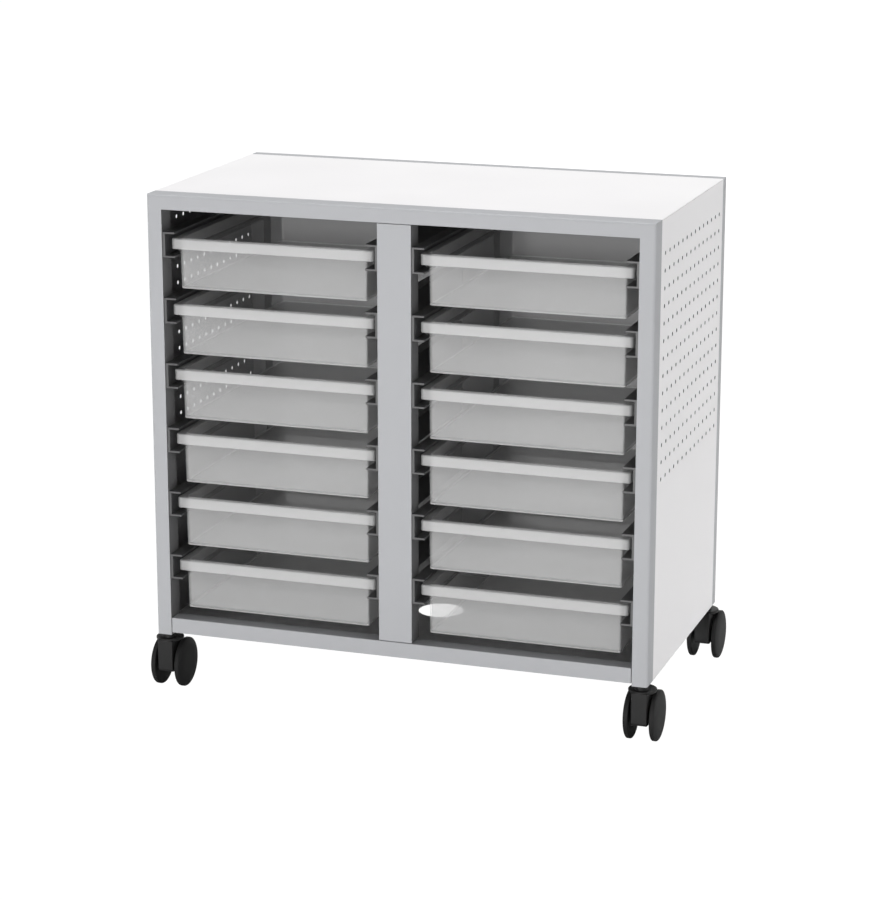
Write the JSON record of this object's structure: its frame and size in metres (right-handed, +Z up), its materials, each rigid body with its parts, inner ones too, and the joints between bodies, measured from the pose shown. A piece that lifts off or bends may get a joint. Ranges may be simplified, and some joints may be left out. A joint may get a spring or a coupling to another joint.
{
  "type": "classroom tray storage unit",
  "caption": "Low mobile steel cabinet whose two bays hold shallow translucent sliding trays on plastic runners, with perforated side panels and swivelling twin-wheel casters.",
  "frame": {"origin": "on the floor under the middle of the whole unit, casters included", "axes": "+Z up, -Y towards the front where the trays pull out, +X to the right seen from the front"},
  "size_m": [0.788, 0.4626, 0.758],
  "materials": {
    "silver_paint": "satin powder coat, light silver grey",
    "white_paint": "satin powder coat, white",
    "grey_paint": "satin powder coat, dark grey",
    "runner_plastic": "moulded, grey",
    "frosted_plastic": "translucent frosted moulding",
    "hood_plastic": "moulded, black",
    "tread_rubber": "hard black wheel"
  },
  "bodies": {
    "cabinet": {"front_frame": "silver_paint", "rear_frame": "grey_paint", "front_centre_post": "silver_paint", "rear_centre_post": "grey_paint", "front_bottom_rail": "silver_paint", "rear_bottom_rail": "grey_paint", "top_panel": "white_paint", "left_side_panel": "white_paint", "right_side_panel": "white_paint", "back_panel": "grey_paint", "floor_panel": "grey_paint", "left_outer_runner_1": "runner_plastic", "left_inner_runner_1": "runner_plastic", "right_outer_runner_1": "runner_plastic", "right_inner_runner_1": "runner_plastic", "left_outer_runner_2": "runner_plastic", "left_inner_runner_2": "runner_plastic", "right_outer_runner_2": "runner_plastic", "right_inner_runner_2": "runner_plastic", "left_outer_runner_3": "runner_plastic", "left_inner_runner_3": "runner_plastic", "right_outer_runner_3": "runner_plastic", "right_inner_runner_3": "runner_plastic", "left_outer_runner_4": "runner_plastic", "left_inner_runner_4": "runner_plastic", "right_outer_runner_4": "runner_plastic", "right_inner_runner_4": "runner_plastic", "left_outer_runner_5": "runner_plastic", "left_inner_runner_5": "runner_plastic", "right_outer_runner_5": "runner_plastic", "right_inner_runner_5": "runner_plastic", "left_outer_runner_6": "runner_plastic", "left_inner_runner_6": "runner_plastic", "right_outer_runner_6": "runner_plastic", "right_inner_runner_6": "runner_plastic"},
    "left_tray_1": {"left_tray_1": "frosted_plastic"},
    "right_tray_1": {"right_tray_1": "frosted_plastic"},
    "left_tray_2": {"left_tray_2": "frosted_plastic"},
    "right_tray_2": {"right_tray_2": "frosted_plastic"},
    "left_tray_3": {"left_tray_3": "frosted_plastic"},
    "right_tray_3": {"right_tray_3": "frosted_plastic"},
    "left_tray_4": {"left_tray_4": "frosted_plastic"},
    "right_tray_4": {"right_tray_4": "frosted_plastic"},
    "left_tray_5": {"left_tray_5": "frosted_plastic"},
    "right_tray_5": {"right_tray_5": "frosted_plastic"},
    "left_tray_6": {"left_tray_6": "frosted_plastic"},
    "right_tray_6": {"right_tray_6": "frosted_plastic"},
    "front_left_caster": {"front_left_caster_hood": "hood_plastic"},
    "front_left_caster_outer_wheel": {"front_left_caster_outer_wheel": "tread_rubber"},
    "front_left_caster_inner_wheel": {"front_left_caster_inner_wheel": "tread_rubber"},
    "front_right_caster": {"front_right_caster_hood": "hood_plastic"},
    "front_right_caster_outer_wheel": {"front_right_caster_outer_wheel": "tread_rubber"},
    "front_right_caster_inner_wheel": {"front_right_caster_inner_wheel": "tread_rubber"},
    "rear_left_caster": {"rear_left_caster_hood": "hood_plastic"},
    "rear_left_caster_outer_wheel": {"rear_left_caster_outer_wheel": "tread_rubber"},
    "rear_left_caster_inner_wheel": {"rear_left_caster_inner_wheel": "tread_rubber"},
    "rear_right_caster": {"rear_right_caster_hood": "hood_plastic"},
    "rear_right_caster_outer_wheel": {"rear_right_caster_outer_wheel": "tread_rubber"},
    "rear_right_caster_inner_wheel": {"rear_right_caster_inner_wheel": "tread_rubber"}
  },
  "joints": [
    {"name": "left_tray_1_slide", "type": "slide", "parent": "cabinet", "child": "left_tray_1", "axis": [0, -1, 0], "range_m": [0, 0.3]},
    {"name": "right_tray_1_slide", "type": "slide", "parent": "cabinet", "child": "right_tray_1", "axis": [0, -1, 0], "range_m": [0, 0.3]},
    {"name": "left_tray_2_slide", "type": "slide", "parent": "cabinet", "child": "left_tray_2", "axis": [0, -1, 0], "range_m": [0, 0.3]},
    {"name": "right_tray_2_slide", "type": "slide", "parent": "cabinet", "child": "right_tray_2", "axis": [0, -1, 0], "range_m": [0, 0.3]},
    {"name": "left_tray_3_slide", "type": "slide", "parent": "cabinet", "child": "left_tray_3", "axis": [0, -1, 0], "range_m": [0, 0.3]},
    {"name": "right_tray_3_slide", "type": "slide", "parent": "cabinet", "child": "right_tray_3", "axis": [0, -1, 0], "range_m": [0, 0.3]},
    {"name": "left_tray_4_slide", "type": "slide", "parent": "cabinet", "child": "left_tray_4", "axis": [0, -1, 0], "range_m": [0, 0.3]},
    {"name": "right_tray_4_slide", "type": "slide", "parent": "cabinet", "child": "right_tray_4", "axis": [0, -1, 0], "range_m": [0, 0.3]},
    {"name": "left_tray_5_slide", "type": "slide", "parent": "cabinet", "child": "left_tray_5", "axis": [0, -1, 0], "range_m": [0, 0.3]},
    {"name": "right_tray_5_slide", "type": "slide", "parent": "cabinet", "child": "right_tray_5", "axis": [0, -1, 0], "range_m": [0, 0.3]},
    {"name": "left_tray_6_slide", "type": "slide", "parent": "cabinet", "child": "left_tray_6", "axis": [0, -1, 0], "range_m": [0, 0.3]},
    {"name": "right_tray_6_slide", "type": "slide", "parent": "cabinet", "child": "right_tray_6", "axis": [0, -1, 0], "range_m": [0, 0.3]},
    {"name": "front_left_caster_swivel", "type": "hinge", "parent": "cabinet", "child": "front_left_caster", "pos_m": [-0.3685, -0.21075, 0.089], "axis": [0, 0, 1], "continuous": true},
    {"name": "front_left_caster_outer_wheel_spin", "type": "hinge", "parent": "front_left_caster", "child": "front_left_caster_outer_wheel", "pos_m": [-0.3685, -0.19375, 0.0375], "axis": [1, 0, 0], "continuous": true},
    {"name": "front_left_caster_inner_wheel_spin", "type": "hinge", "parent": "front_left_caster", "child": "front_left_caster_inner_wheel", "pos_m": [-0.3685, -0.19375, 0.0375], "axis": [1, 0, 0], "continuous": true},
    {"name": "front_right_caster_swivel", "type": "hinge", "parent": "cabinet", "child": "front_right_caster", "pos_m": [0.3685, -0.21075, 0.089], "axis": [0, 0, 1], "continuous": true},
    {"name": "front_right_caster_outer_wheel_spin", "type": "hinge", "parent": "front_right_caster", "child": "front_right_caster_outer_wheel", "pos_m": [0.3685, -0.19375, 0.0375], "axis": [1, 0, 0], "continuous": true},
    {"name": "front_right_caster_inner_wheel_spin", "type": "hinge", "parent": "front_right_caster", "child": "front_right_caster_inner_wheel", "pos_m": [0.3685, -0.19375, 0.0375], "axis": [1, 0, 0], "continuous": true},
    {"name": "rear_left_caster_swivel", "type": "hinge", "parent": "cabinet", "child": "rear_left_caster", "pos_m": [-0.36775, 0.17675, 0.089], "axis": [0, 0, 1], "continuous": true},
    {"name": "rear_left_caster_outer_wheel_spin", "type": "hinge", "parent": "rear_left_caster", "child": "rear_left_caster_outer_wheel", "pos_m": [-0.36775, 0.19375, 0.0375], "axis": [1, 0, 0], "continuous": true},
    {"name": "rear_left_caster_inner_wheel_spin", "type": "hinge", "parent": "rear_left_caster", "child": "rear_left_caster_inner_wheel", "pos_m": [-0.36775, 0.19375, 0.0375], "axis": [1, 0, 0], "continuous": true},
    {"name": "rear_right_caster_swivel", "type": "hinge", "parent": "cabinet", "child": "rear_right_caster", "pos_m": [0.36775, 0.17675, 0.089], "axis": [0, 0, 1], "continuous": true},
    {"name": "rear_right_caster_outer_wheel_spin", "type": "hinge", "parent": "rear_right_caster", "child": "rear_right_caster_outer_wheel", "pos_m": [0.36775, 0.19375, 0.0375], "axis": [1, 0, 0], "continuous": true},
    {"name": "rear_right_caster_inner_wheel_spin", "type": "hinge", "parent": "rear_right_caster", "child": "rear_right_caster_inner_wheel", "pos_m": [0.36775, 0.19375, 0.0375], "axis": [1, 0, 0], "continuous": true}
  ]
}
